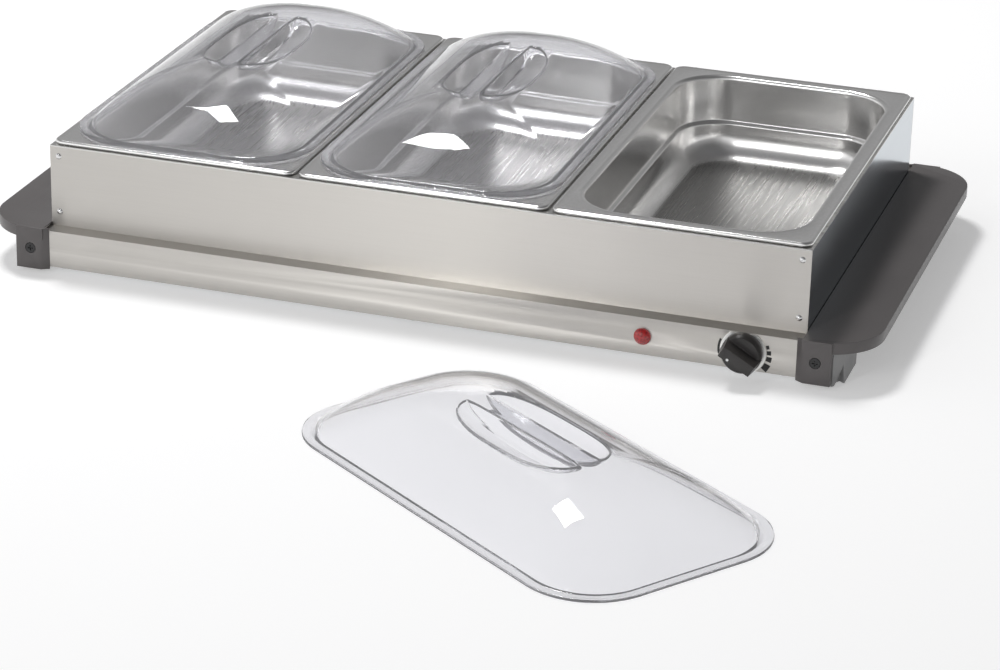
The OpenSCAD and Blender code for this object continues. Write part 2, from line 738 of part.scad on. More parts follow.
module frame_front_panel() color("gainsboro") difference() {
    union() {
        box([-side_x, frame_front, tray_top], [side_x, frame_front + frame_t, panel_top]);
        box([-side_x, frame_front, panel_top - frame_t], [side_x, frame_front + frame_margin + 4, panel_top]);
    }
    rivet_holes();
    side_fold_space();
}

module frame_rear_panel() color("gainsboro") difference() {
    union() {
        box([-side_x, frame_rear - frame_t, tray_top], [side_x, frame_rear, panel_top]);
        box([-side_x, frame_rear - frame_margin - 4, panel_top - frame_t], [side_x, frame_rear, panel_top]);
    }
    rivet_holes();
    side_fold_space();
}

// Room that the front and rear folds leave for the side panels
module side_fold_space() {
    for (s = [-1, 1])
        translate([s * (side_x - frame_fold_w / 2 + 1), frame_mid, panel_top - frame_t / 2])
            cube([frame_fold_w + 2, frame_d - 2 * frame_t, frame_t + 2 * proud], center = true);
}

// Side panel for the right; its ends are folded in behind the front and rear panels
module side_panel() {
    y0 = frame_front + frame_t;
    y1 = frame_rear - frame_t;
    difference() {
        union() {
            box([side_x - frame_t, y0, tray_top], [side_x, y1, panel_top]);
            for (y = [y0, y1 - frame_t])
                box([side_x - frame_fold_w, y, tray_top], [side_x, y + frame_t, panel_top]);
            box([side_x - side_fold_w, y0, panel_top - frame_t], [side_x, y1, panel_top]);
        }
        rivet_holes();
    }
}
side_fold_w = flange_w - 1;

module frame_right_panel() color("silver") side_panel();
module frame_left_panel() color("silver") mirror([1, 0, 0]) side_panel();

// The top is one sheet with three openings, smaller than the pans' rims
opening_w = pan_w - 2 * flange_w;
opening_l = pan_l - 2 * flange_w;
pan_xs = [for (i = [0:pan_count - 1]) (i - (pan_count - 1) / 2) * pan_pitch];
module frame_top() color("gainsboro") difference() {
    box([-side_x, frame_front, panel_top], [side_x, frame_rear, frame_top_z]);
    for (x = pan_xs)
        translate([x, frame_mid, panel_top - proud]) linear_extrude(frame_t + 2 * proud)
            rounded(opening_w, opening_l, mouth_r);
}

// Exact rounded rectangle around the origin
module rounded(w, d, r) {
    square([w - 2 * r, d], center = true);
    square([w, d - 2 * r], center = true);
    for (sx = [-1, 1], sy = [-1, 1])
        translate([sx * (w / 2 - r), sy * (d / 2 - r)]) circle(r);
}

// Folded bars stiffen the top between the openings
bar_w = 2 * flange_w + pan_gap - 8;
bar_h = 8;
module divider_bars() color("silver")
    for (i = [0:pan_count - 2])
        translate([(pan_xs[i] + pan_xs[i + 1]) / 2, frame_mid, panel_top - bar_h]) difference() {
            translate([-bar_w / 2, -frame_d / 2 + frame_t + seat_gap, 0])
                cube([bar_w, frame_d - 2 * frame_t - 2 * seat_gap, bar_h]);
            translate([-bar_w / 2 + frame_t, -frame_d / 2, -proud])
                cube([bar_w - 2 * frame_t, frame_d, bar_h - frame_t + proud]);
            for (s = [-1, 1])
                translate([0, s * (frame_d / 2 - (frame_margin + 4) / 2), bar_h - frame_t / 2])
                    cube([bar_w + 2, frame_margin + 4 + 2 * seat_gap, frame_t + 2 * proud], center = true);
        }

// Dome-headed rivets join the front and rear panels to the side panels' folds
module rivet() {
    head_h = rivet_head_d / 4;
    cylinder(d = rivet_shank_d, h = 2 * frame_t + 1.2);
    translate([0, 0, 2 * frame_t]) cylinder(d = rivet_shank_d + 1, h = 1.2);
    mirror([0, 0, 1]) intersection() {
        cylinder(d = rivet_head_d, h = head_h);
        translate([0, 0, head_h - rivet_head_d * 0.625]) sphere(d = rivet_head_d * 1.25);
    }
}
module frame_rivets() color("silver")
    for (x = rivet_xs, z = rivet_zs, s = [0, 1])
        translate([x, frame_mid, z]) mirror([0, s, 0])
            translate([0, -frame_d / 2, 0]) rotate([-90, 0, 0]) rivet();

// ---------- pans ----------

mouth_edge_r = 3;      // radius where the flange turns down into the pan
wall_draft = 0.8;      // how far the upper wall leans in
roll_r = (rim_h - rest_gap) / 2;

// Points of the pan's section, each [distance in from the mouth, depth below the rim].
// With o = 0 they follow the inside, and with o = pan_t the outside.
function mouth_section(o) = [for (a = [0:30:90])
    [(mouth_edge_r - o) * sin(a), mouth_edge_r - (mouth_edge_r - o) * cos(a)]];
function shoulder_section(o) =
    let (m = mouth_edge_r + wall_draft - o)
    [[m, shoulder_depth], [m + shoulder_w, shoulder_depth + 1.5], [m + shoulder_w, shoulder_depth + 3]];
function bottom_section(o) =
    let (m = mouth_edge_r + wall_draft + shoulder_w + bottom_r, d = pan_depth - pan_t - bottom_r)
    [for (a = [0:15:90]) [m - (bottom_r + o) * cos(a), d + (bottom_r + o) * sin(a)]];
function pan_section(o) = concat(mouth_section(o), shoulder_section(o), bottom_section(o));

function reversed(list) = [for (i = [len(list) - 1:-1:0]) list[i]];
function pan_ring(s) = [
    pan_w / 2 - flange_w - s[0], pan_l / 2 - flange_w - s[0], mouth_r - 0.45 * s[0], rim_z - s[1]];
function rim_ring(s) = [
    pan_w / 2 - s[0], pan_l / 2 - s[0], rim_corner_r, rim_z - s[1]];

module pan(x) {
    lip = [[2 * roll_r + 0.6, pan_t], [2 * roll_r, 2 * roll_r - 0.5], [roll_r, 2 * roll_r]];
    roll = [for (a = [-60:30:90]) [roll_r - roll_r * cos(a), roll_r - roll_r * sin(a)]];
    rings = concat(
        [for (s = reversed(pan_section(pan_t))) pan_ring(s)],
        [for (s = concat(lip, roll)) rim_ring(s)],
        [for (s = pan_section(0)) pan_ring(s)]
    );
    translate([x, frame_mid, 0]) loft(rings, 6);
}

module left_pan() color("lightgray") pan(pan_xs[0]);
module centre_pan() color("lightgray") pan(pan_xs[1]);
module right_pan() color("lightgray") pan(pan_xs[2]);

// ---------- lids ----------

dome_a = lid_w / 2 - lid_flange_w;
dome_b = lid_l / 2 - lid_flange_w;
dome_r = lid_r - lid_flange_w;
lid_steps = 7;

// The dome rises at a slant from the flange and bends over into a nearly flat top. Each curve has
// two powers: the first shapes its foot and the second shapes its top.
across_powers = [1.1, 0.43];
along_powers = [1.2, 0.24];
top_roundness = 0.98;  // corner radius near the top, as a share of the half width

// Ring of the dome at the share s of its height, drawn in by o
function dome_ring(s, o) = let (
        a = dome_a * pow(1 - pow(s, across_powers[0]), across_powers[1]) - o,
        b = dome_b * pow(1 - pow(s, along_powers[0]), along_powers[1]) - o,
        r = a * (dome_r / dome_a + (top_roundness - dome_r / dome_a) * s),
        z = lid_t + (lid_h - lid_t) * s - o
    ) [a, b, r, z];
dome_shares = [0, 0.12, 0.25, 0.38, 0.5, 0.62, 0.73, 0.83, 0.91, 0.96, 0.99];

module lid_dome() {
    inner = [for (s = reversed(dome_shares)) dome_ring(s, lid_t)];
    outer = [for (s = dome_shares) dome_ring(s, 0)];
    edge = [
        [dome_a - lid_t, dome_b - lid_t, dome_r - lid_t, 0],
        [lid_w / 2, lid_l / 2, lid_r, 0],
        [lid_w / 2, lid_l / 2, lid_r, lid_t]
    ];
    loft(concat([for (k = inner) if (k[3] > 0.1) k], edge, outer), lid_steps);
}

// Space under the dome's outer skin
module dome_space() {
    loft([for (s = dome_shares) dome_ring(s, 0)], lid_steps);
}

// Oval ring with half sizes a and b at the height z, fuller than an ellipse
oval_points = 36;
oval_power = 0.72;     // 1 gives an ellipse and less gives a fuller oval
function oval_ring(a, b, z) = [for (i = [0:oval_points - 1])
    let (t = 360 * i / oval_points, c = cos(t), s = sin(t))
    [a * sign(c) * pow(abs(c), oval_power), b * sign(s) * pow(abs(s), oval_power), z]];

// Half of the oval dish, to the right of the bar, with its surface moved out by the amount given
dish_start = 80;       // slope angle of the dish at its deepest ring
dish_step = 16;        // change of that angle from ring to ring
module half_dish(grow) {
    a = grip_w / 2 + grow;
    b = grip_l / 2 + grow;
    depth = grip_depth + grow;
    edge = grip_bar / 2 - grow;
    intersection() {
        skin(concat(
            [for (t = [dish_start:-dish_step:0]) oval_ring(a * cos(t), b * cos(t), lid_h - depth * sin(t))],
            [oval_ring(a, b, lid_h + 1)]
        ));
        box([edge, -grip_l, 0], [grip_w, grip_l, 2 * lid_h]);
    }
}

module lid() difference() {
    union() {
        lid_dome();
        intersection() {
            dome_space();
            for (s = [0, 1])
                mirror([s, 0, 0]) half_dish(lid_t);
        }
    }
    for (s = [0, 1])
        mirror([s, 0, 0]) half_dish(0);
}

module left_lid() color("whitesmoke", 0.5) translate([pan_xs[0], frame_mid, lid_z]) lid();
module centre_lid() color("whitesmoke", 0.5) translate([pan_xs[1], frame_mid, lid_z]) lid();
module loose_lid() color("whitesmoke", 0.5)
    translate([loose_lid_x, frame_front - loose_lid_y, 0]) rotate(loose_lid_turn) lid();

tray_shell();
bottom_plate();
bottom_screws();
heat_spreader();
spreader_studs();
stud_nuts();
heating_element();
element_clips();
insulation_pad();
thermostat_body();
thermostat_nut();
thermal_fuse();
terminal_block();
wiring();
earth_stud();
cord_gland();
gland_nut();
lamp_lens();
lamp_holder();
lamp_clip();
dial_ring();
dial_scale();
left_handle();
right_handle();
handle_screws();
feet();
frame_front_panel();
frame_rear_panel();
frame_left_panel();
frame_right_panel();
frame_top();
divider_bars();
frame_rivets();
left_pan();
centre_pan();
right_pan();
left_lid();
centre_lid();
loose_lid();
control_knob();
knob_dot();
thermostat_shaft();
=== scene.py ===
import json
import math

import bmesh
import bpy
from mathutils import Matrix, Vector


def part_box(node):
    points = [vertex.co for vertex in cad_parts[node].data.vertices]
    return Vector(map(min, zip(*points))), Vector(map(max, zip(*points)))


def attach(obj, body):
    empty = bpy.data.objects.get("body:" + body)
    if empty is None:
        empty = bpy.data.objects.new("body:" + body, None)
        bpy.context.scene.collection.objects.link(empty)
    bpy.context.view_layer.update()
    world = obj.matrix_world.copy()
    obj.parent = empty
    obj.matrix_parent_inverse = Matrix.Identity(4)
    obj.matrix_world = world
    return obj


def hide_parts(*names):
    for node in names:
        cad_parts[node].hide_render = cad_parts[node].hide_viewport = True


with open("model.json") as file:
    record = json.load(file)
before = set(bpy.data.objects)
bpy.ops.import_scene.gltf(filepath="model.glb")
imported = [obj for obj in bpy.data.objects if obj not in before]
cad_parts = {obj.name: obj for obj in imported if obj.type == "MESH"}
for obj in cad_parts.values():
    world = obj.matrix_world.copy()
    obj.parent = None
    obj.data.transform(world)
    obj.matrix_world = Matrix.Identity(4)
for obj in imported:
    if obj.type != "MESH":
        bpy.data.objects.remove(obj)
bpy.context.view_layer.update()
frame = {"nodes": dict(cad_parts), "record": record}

scene = bpy.context.scene
MM = 0.001                   # metres in a millimetre

# Sizes of the pans in millimetres, the same as the solids have
PAN_T = 0.8                  # thickness of the sheet
PAN_DEPTH = 60.5             # from the top of the rim to the underside
FLANGE_W = 8.5
RIM_R = 7.0                  # corner radius of the rim
MOUTH_R = 37.0               # corner radius of the opening
ROLL_R = 1.55                # radius of the rolled edge
MOUTH_EDGE_R = 3.0           # radius where the flange turns down into the pan
WALL_DRAFT = 0.8             # how far the upper wall leans in
SHOULDER_DEPTH = 34.0
SHOULDER_W = 3.0
BOTTOM_R = 19.0              # radius where the wall runs into the bottom

# Finer forms of the pans, which the solids don't have
SHOULDER_R = 1.2             # radius of the shoulder's two bends
SHOULDER_FALL = 0.5          # how far the shoulder slopes down
WALL_BREAK_UP = 12.0         # point of the upper wall, above and outside its foot
WALL_BREAK_OUT = 0.35
MOUTH_SHARPENING = 0.45      # corner radius that the wall loses per millimetre inwards
RIM_SHARPENING = 0.5         # the same for the rim
ROLL_START = -135            # angle at which the rolled edge starts, in degrees
ROLL_LIP = 2.2               # where the roll meets the flange from below, in roll radii
DIP = 0.22                   # depth of the flange under its two raised edges
HALF_DIP = 0.1
DIP_W = 0.8                  # width of each half of the slope down from the roll
DIP_END = 1.2                # distance from the opening at which the slope up to it starts
HALF_DIP_END = 0.5           # distance at which it is half done
PAN_CORNER_STEPS = 16

# Sizes of the lids in millimetres, the same as the solids have
LID_T = 2.0                  # thickness of the wall
LID_R = 46.0                 # corner radius of the flange
LID_FLANGE = 6.5             # width of the flange
ACROSS_POWERS = (1.1, 0.43)  # roundness of the dome from side to side
ALONG_POWERS = (1.2, 0.24)   # roundness of the dome from front to rear
TOP_ROUNDNESS = 0.98         # corner radius near the top, as a share of the half width
GRIP_L = 114.0               # length of the oval dish
GRIP_W = 60.0                # width of the oval dish
GRIP_BAR = 15.0              # width of the bar across the dish
GRIP_DEPTH = 15.0            # depth of the dish
OVAL_POWER = 0.72            # 1 gives an ellipse and less gives a fuller oval
LOOSE_TURN = 54.2            # turn of the loose lid on the table, in degrees

# Finer forms of the lids
FLANGE_EDGE = 0.6            # bevel of the flange's edges
FLANGE_EDGE_TOP = 0.2        # point halfway round the upper bevel, from the edge and the top
DOME_FOOT_W = 1.4            # how far the dome's foot reaches over the flange
DOME_FOOT = (0.9, 0.25)      # step at the dome's foot, inwards and up
DOME_ROWS = 30
DOME_CROWDING = 1.9          # how much the rows crowd towards the top
DOME_TOP = 0.9988            # share of the height at which the outer skin is closed
DOME_LOWEST = 0.02           # share of the height of the outer skin's lowest row
HOLLOW_TOP = 0.995           # share of the height at which the hollow is closed
HOLLOW_LOWEST = 0.3          # height of the hollow's lowest row of the dome, in millimetres
HOLLOW_START = -2            # the hollow starts this high, below the flange
LID_CORNER_STEPS = 18
DISH_STEPS = 96
DISH_LEVELS = 15
DISH_BOTTOM_W = 1.6          # width of the dish's bottom beside the bar
DISH_FOOT_R = 2.6            # radius where the bar's side runs into the bottom
DISH_LEAN = 0.6              # share of that radius by which the bar's side moves out
DISH_LEAST_W = 0.8           # least width of the dish at any height
DISH_EDGE_DROP = 0.8         # how far under the dome the dish's wall ends and its soft edge starts
DISH_EDGE = ((0.15, -0.4), (0.5, -0.1), (1.0, 0.03), (1.2, 2.0))  # (outwards, up from the dome)
CUP_OVER_TOP = 1.0           # how far the cup around a dish reaches over the lid's top
OVAL_SHARPNESS = 20.0        # sharpness of the corners where an oval is cut off
HALVINGS = 26                # halvings of a span in a search
TINY = 1e-6

# Angles in degrees above which an edge stays hard, and the rounding of moulded edges
PAN_HARD_ANGLE = 50.0
LID_HARD_ANGLE = 38.0
MOULDED_HARD_ANGLE = 35.0
BEVEL_ANGLE = 40.0
BEVEL_SEGMENTS = 3
FLAT_ANGLE = 1.0             # faces that bend less than this are joined before the rounding
MERGE_DISTANCE = 1e-7        # in metres
SOLID_MERGE_DISTANCE = 1e-6


# ---------- material helpers ----------

class Graph:
    """A material's node tree with short calls for the nodes used here."""

    def __init__(self, name):
        self.material = bpy.data.materials.new(name)
        self.material.use_nodes = True
        self.tree = self.material.node_tree
        self.tree.nodes.clear()
        self.out = self.tree.nodes.new("ShaderNodeOutputMaterial")
        self.place = self.tree.nodes.new("ShaderNodeTexCoord").outputs["Object"]

    def node(self, kind, **values):
        made = self.tree.nodes.new(kind)
        for key, value in values.items():
            self.give(made.inputs[key], value)
        return made

    def give(self, socket, value):
        if isinstance(value, bpy.types.NodeSocket):
            self.tree.links.new(value, socket)
        else:
            socket.default_value = value

    def math(self, operation, *values):
        made = self.tree.nodes.new("ShaderNodeMath")
        made.operation = operation
        for socket, value in zip(made.inputs, values):
            self.give(socket, value)
        return made.outputs[0]

    def noise(self, scale, detail=3.0, stretch=(1, 1, 1), rough=0.5, distortion=0.0):
        place = self.node("ShaderNodeMapping", Scale=stretch, Vector=self.place).outputs[0]
        made = self.node("ShaderNodeTexNoise", Vector=place, Scale=scale, Detail=detail, Roughness=rough,
                         Distortion=distortion)
        return made.outputs["Fac"]

    def spread(self, value, out_low=0.0, out_high=1.0, span=(0.3, 0.7)):
        """Maps a span, by default the one that holds nearly all of a noise, to the numbers given."""
        made = self.tree.nodes.new("ShaderNodeMapRange")
        made.interpolation_type = "SMOOTHSTEP"
        self.give(made.inputs["Value"], value)
        for key, number in zip(("From Min", "From Max", "To Min", "To Max"), (*span, out_low, out_high)):
            made.inputs[key].default_value = number
        return made.outputs[0]

    def mix(self, factor, first, second):
        made = self.tree.nodes.new("ShaderNodeMix")
        made.data_type = "RGBA"
        self.give(made.inputs["Factor"], factor)
        self.give(made.inputs["A"], self.colour(first))
        self.give(made.inputs["B"], self.colour(second))
        return made.outputs["Result"]

    @staticmethod
    def colour(value):
        if isinstance(value, tuple) and len(value) == 3:
            return (*value, 1.0)
        return value

    def bump(self, height, strength, distance):
        return self.node("ShaderNodeBump", Strength=strength, Distance=distance, Height=height).outputs[0]

    def shader(self, **values):
        made = self.tree.nodes.new("ShaderNodeBsdfPrincipled")
        for key, value in values.items():
            self.give(made.inputs[key.replace("_", " ")], self.colour(value))
        return made.outputs[0]

    def finish(self, surface):
        self.tree.links.new(surface, self.out.inputs["Surface"])
        return self.material


def times(tone, share):
    return tuple(c * share for c in tone)


# ---------- materials ----------

FINE_SPAN = (0.35, 0.65)     # a narrower span of a noise, for more contrast


def steel(name, tone, roughness, brush=(1, 1, 1), grain=0.25, streak=900.0, stretch=0.0):
    """Metal sheet. brush holds how much the grain is stretched along X, Y and Z, and stretch how much
    the grain draws reflections out upwards."""
    g = Graph(name)
    lines = g.noise(streak, 2.0, brush, 0.6)
    cloud = g.noise(9.0)
    rough = g.math("ADD", g.spread(lines, roughness * 0.95, roughness * 1.05), g.spread(cloud, -0.015, 0.02))
    return g.finish(g.shader(
        Base_Color=g.mix(g.spread(lines), tone, times(tone, 0.985)),
        Metallic=1.0, Roughness=rough, Anisotropic=stretch, Anisotropic_Rotation=0.25,
        Normal=g.bump(lines, grain, 0.00008)))


def plastic(name, tone, roughness, grain_size=2600.0, grain=0.35, lift=1.25):
    """Moulded plastic with a fine spark-eroded grain and slight unevenness of tone."""
    g = Graph(name)
    fine = g.noise(grain_size, 2.0)
    cloud = g.noise(14.0)
    light = tuple(min(1.0, c * lift) for c in tone)
    rough = g.math("ADD", g.spread(fine, roughness - 0.04, roughness + 0.05, FINE_SPAN),
                   g.spread(cloud, -0.03, 0.03))
    return g.finish(g.shader(
        Base_Color=g.mix(g.spread(cloud), tone, light),
        Roughness=rough, Normal=g.bump(fine, grain, 0.00006)))


def fibre(name, tone):
    """Needled mat of pale fibres."""
    g = Graph(name)
    hairs = g.noise(700.0, 4.0, (1, 0.25, 1), 0.7, 1.5)
    return g.finish(g.shader(
        Base_Color=g.mix(g.spread(hairs, span=FINE_SPAN), times(tone, 0.7), tone),
        Roughness=0.95, Normal=g.bump(hairs, 0.8, 0.0006)))


def clear(name, tone):
    """Clear moulded plastic that lets lamps through."""
    g = Graph(name)
    ripple = g.noise(26.0, 1.0)
    body = g.shader(
        Base_Color=g.mix(g.spread(g.noise(5.0, 2.0)), tone, times(tone, 0.985)),
        Roughness=0.02, IOR=1.33, Transmission_Weight=0.93, Normal=g.bump(ripple, 0.05, 0.001))
    path = g.node("ShaderNodeLightPath")
    through = g.node("ShaderNodeBsdfTransparent", Color=(0.96, 0.96, 0.97, 1.0))
    mixed = g.node("ShaderNodeMixShader")
    g.give(mixed.inputs[0], g.math("MAXIMUM", path.outputs["Is Shadow Ray"], path.outputs["Is Diffuse Ray"]))
    g.give(mixed.inputs[1], body)
    g.give(mixed.inputs[2], through.outputs[0])
    return g.finish(mixed.outputs[0])


def pan_steel(name):
    """Deep-drawn stainless: polished walls and a bottom brushed from front to rear. The bottom's colour is
    darkened as painted shade, and the walls' colour is lightened as painted light.
    """
    g = Graph(name)
    at = g.node("ShaderNodeSeparateXYZ", Vector=g.place)
    deep = g.spread(at.outputs["Z"], 1.0, 0.0, (0.0322, 0.0335))  # 1 on the bottom and 0 on the walls
    lines = g.noise(700.0, 2.0, (1, 0.02, 1), 0.6)
    drawn = g.noise(420.0, 2.0, (1, 1, 0.03), 0.5)
    grain = g.mix(deep, drawn, lines)
    polish = g.spread(drawn, 0.20, 0.25)
    brushed = g.spread(lines, 0.25, 0.36)
    rough = g.math("ADD", g.math("MULTIPLY", brushed, deep),
                   g.math("MULTIPLY", polish, g.math("SUBTRACT", 1.0, deep)))
    # Painted shade and light: the bottom's colour is made far darker than the walls' colour, though both are
    # the same steel
    bottom_tone_painted_shade = g.mix(g.spread(lines), (0.36, 0.355, 0.345), (0.30, 0.295, 0.29))
    wall_tone_painted_light = g.mix(g.spread(drawn), (0.92, 0.915, 0.905), (0.88, 0.875, 0.865))
    return g.finish(g.shader(
        Base_Color=g.mix(deep, wall_tone_painted_light, bottom_tone_painted_shade),
        Metallic=1.0, Roughness=rough, Normal=g.bump(grain, 0.03, 0.0001)))


def lens_red(name):
    """Red lens of the lamp, with a faint facet pattern under a glossy skin."""
    g = Graph(name)
    cells = g.node("ShaderNodeTexVoronoi", Vector=g.place, Scale=620.0)
    facets = g.spread(cells.outputs["Distance"], span=(0.1, 0.7))
    return g.finish(g.shader(
        Base_Color=g.mix(facets, (0.24, 0.004, 0.006), (0.50, 0.015, 0.018)),
        Roughness=0.12, IOR=1.5, Coat_Weight=0.6, Coat_Roughness=0.04))


METALS = {
    "front_steel": dict(tone=(0.57, 0.55, 0.52), roughness=0.33, brush=(0.015, 1, 1), grain=0.01,
                        streak=1500.0, stretch=0.92),
    # The side panels' bluish tone is a painted reflection of cool surroundings
    "side_steel": dict(tone=(0.52, 0.57, 0.61), roughness=0.17, brush=(1, 0.03, 1), grain=0.02),
    "top_steel": dict(tone=(0.66, 0.655, 0.64), roughness=0.26, brush=(0.02, 1, 1), grain=0.04),
    "ring_steel": dict(tone=(0.86, 0.86, 0.84), roughness=0.38, grain=0.05),
    "bright_steel": dict(tone=(0.72, 0.72, 0.72), roughness=0.12, grain=0.05),
    "zinc": dict(tone=(0.60, 0.61, 0.62), roughness=0.35, grain=0.2, streak=300.0),
    "mill_aluminium": dict(tone=(0.78, 0.78, 0.78), roughness=0.32, brush=(0.05, 1, 1)),
    "burnt_steel": dict(tone=(0.16, 0.14, 0.13), roughness=0.5, grain=0.3, streak=500.0),
    "brass": dict(tone=(0.75, 0.56, 0.26), roughness=0.25, grain=0.1),
}

PLASTICS = {
    "charcoal": dict(tone=(0.105, 0.097, 0.096), roughness=0.36, grain=0.2, lift=1.15),
    "knob_black": dict(tone=(0.024, 0.022, 0.021), roughness=0.30, grain_size=3000.0, grain=0.1),
    "grey_plastic": dict(tone=(0.36, 0.36, 0.36), roughness=0.40),
    "screw_black": dict(tone=(0.015, 0.015, 0.016), roughness=0.35, grain_size=900.0, grain=0.1),
    "ivory": dict(tone=(0.78, 0.74, 0.64), roughness=0.45),
    "ceramic": dict(tone=(0.80, 0.77, 0.70), roughness=0.30, grain_size=400.0, grain=0.1),
    "silicone": dict(tone=(0.42, 0.05, 0.04), roughness=0.55),
    "print_black": dict(tone=(0.015, 0.015, 0.015), roughness=0.5, grain_size=1500.0, grain=0.1),
    "print_white": dict(tone=(0.85, 0.85, 0.84), roughness=0.5, grain_size=1500.0, grain=0.1),
}

MATERIALS = {name: steel(name, **look) for name, look in METALS.items()}
MATERIALS.update({name: plastic(name, **look) for name, look in PLASTICS.items()})
MATERIALS["mat"] = fibre("mat", (0.80, 0.76, 0.64))
MATERIALS["clear"] = clear("clear", (0.93, 0.93, 0.95))
MATERIALS["pan_steel"] = pan_steel("pan_steel")
MATERIALS["lens_red"] = lens_red("lens_red")


# ---------- mesh helpers ----------

def new_object(name, mesh_data):
    made = bpy.data.objects.new(name, mesh_data)
    scene.collection.objects.link(made)
    return made


def mesh_from(name, points, faces):
    """Mesh from points in millimetres."""
    data = bpy.data.meshes.new(name)
    data.from_pydata([(x * MM, y * MM, z * MM) for x, y, z in points], [], faces)
    data.update()
    return data


def tidy_normals(data):
    b = bmesh.new()
    b.from_mesh(data)
    bmesh.ops.remove_doubles(b, verts=b.verts, dist=MERGE_DISTANCE)
    bmesh.ops.recalc_face_normals(b, faces=b.faces)
    b.to_mesh(data)
    b.free()


def smooth_by_angle(data, degrees):
    """Smooth faces, with a hard line kept along every edge that bends more than the angle."""
    limit = math.radians(degrees)
    b = bmesh.new()
    b.from_mesh(data)
    for f in b.faces:
        f.smooth = True
    for e in b.edges:
        e.smooth = len(e.link_faces) == 2 and e.calc_face_angle(0.0) < limit
    b.to_mesh(data)
    b.free()


def ring(a, b, r, z, steps):
    """Rounded rectangle with half sizes a and b and corner radius r, as points."""
    out = []
    for cx, cy, start in ((a - r, b - r, 0), (r - a, b - r, 90), (r - a, r - b, 180), (a - r, r - b, 270)):
        for i in range(steps + 1):
            t = math.radians(start + 90 * i / steps)
            out.append((cx + r * math.cos(t), cy + r * math.sin(t), z))
    return out


def loft(rings):
    """Points and faces of a skin through rings of equal length, capped at both ends."""
    count = len(rings[0])
    points = [p for k in rings for p in k]
    faces = []
    for k in range(len(rings) - 1):
        for i in range(count):
            j = (i + 1) % count
            faces.append((k * count + i, k * count + j, (k + 1) * count + j, (k + 1) * count + i))
    faces.append(tuple(range(count - 1, -1, -1)))
    faces.append(tuple((len(rings) - 1) * count + i for i in range(count)))
    return points, faces


def solid(name, rings):
    """Object with a closed skin through the rings."""
    data = mesh_from(name, *loft(rings))
    tidy_normals(data)
    return new_object(name, data)


def modified(obj, kind, **values):
    """Adds a modifier and applies it at once."""
    m = obj.modifiers.new(kind, kind)
    for key, value in values.items():
        setattr(m, key, value)
    bpy.context.view_layer.update()
    graph = bpy.context.evaluated_depsgraph_get()
    done = bpy.data.meshes.new_from_object(obj.evaluated_get(graph))
    obj.modifiers.clear()
    old = obj.data
    obj.data = done
    bpy.data.meshes.remove(old)


def cut_out(target, *cutters):
    for cutter in cutters:
        modified(target, "BOOLEAN", operation="DIFFERENCE", solver="EXACT", object=cutter)
        bpy.data.objects.remove(cutter)


BODIES = {node: body for body, nodes in frame["record"]["behaviour"]["bodies"].items() for node in nodes}


def dress(obj, material, node):
    """Gives a piece its material, and the body and the place of the node that it stands for."""
    obj.data.materials.clear()
    obj.data.materials.append(MATERIALS[material])
    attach(obj, BODIES[node])
    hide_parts(node)


# ---------- pans ----------

def quarter(step):
    """Angles of a quarter turn in radians, with the step in degrees."""
    return [math.radians(a) for a in range(0, 91, step)]


def pan_section(o):
    """Section as (distance in from the mouth, depth): inside with o = 0, outside with o = PAN_T."""
    out = []
    for t in quarter(10):
        out.append(((MOUTH_EDGE_R - o) * math.sin(t), MOUTH_EDGE_R - (MOUTH_EDGE_R - o) * math.cos(t)))
    m = MOUTH_EDGE_R + WALL_DRAFT - o
    out.append((m - WALL_BREAK_OUT, SHOULDER_DEPTH - WALL_BREAK_UP))
    for t in quarter(18):
        out.append((m + SHOULDER_R * (1 - math.cos(t)),
                    SHOULDER_DEPTH - SHOULDER_R + SHOULDER_R * math.sin(t)))
    s = m + SHOULDER_W
    for t in quarter(18):
        out.append((s - SHOULDER_R + SHOULDER_R * math.sin(t),
                    SHOULDER_DEPTH + SHOULDER_FALL + SHOULDER_R * (1 - math.cos(t))))
    m = MOUTH_EDGE_R + WALL_DRAFT + SHOULDER_W + BOTTOM_R
    d = PAN_DEPTH - PAN_T - BOTTOM_R
    for t in quarter(6):
        out.append((m - (BOTTOM_R + o) * math.cos(t), d + (BOTTOM_R + o) * math.sin(t)))
    return out


def pan_mesh(name, x, y, rim_z, half_w, half_l):
    """Mesh of a pan whose rim has its middle at (x, y) and its top at rim_z."""

    def wall(s):
        return ring(half_w - FLANGE_W - s[0], half_l - FLANGE_W - s[0], MOUTH_R - MOUTH_SHARPENING * s[0],
                    rim_z - s[1], PAN_CORNER_STEPS)

    def rim(s):
        return ring(half_w - s[0], half_l - s[0], RIM_R - RIM_SHARPENING * s[0], rim_z - s[1],
                    PAN_CORNER_STEPS)

    roll = [(ROLL_R - ROLL_R * math.cos(math.radians(a)), ROLL_R - ROLL_R * math.sin(math.radians(a)))
            for a in range(ROLL_START, 91, 15)]
    under = [(ROLL_LIP * ROLL_R, PAN_T), (2 * ROLL_R, ROLL_R)]
    flange_start = [(ROLL_R + DIP_W, HALF_DIP), (ROLL_R + 2 * DIP_W, DIP)]
    flange_end = [(-DIP_END, DIP), (-HALF_DIP_END, HALF_DIP)]
    rings = [wall(s) for s in reversed(pan_section(PAN_T))]
    rings += [rim(s) for s in under + roll + flange_start]
    rings += [wall(s) for s in flange_end + pan_section(0)]
    points, faces = loft(rings)
    data = mesh_from(name, [(px + x, py + y, pz) for px, py, pz in points], faces)
    tidy_normals(data)
    smooth_by_angle(data, PAN_HARD_ANGLE)
    return data


def make_pans():
    for side in ("left", "centre", "right"):
        node = side + "_pan"
        low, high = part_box(node)
        at = (low + high) / 2 / MM
        size = (high - low) / MM
        data = pan_mesh(node, at.x, at.y, high.z / MM, size.x / 2, size.y / 2)
        dress(new_object(node + "_shell", data), "pan_steel", node)


# ---------- lids ----------

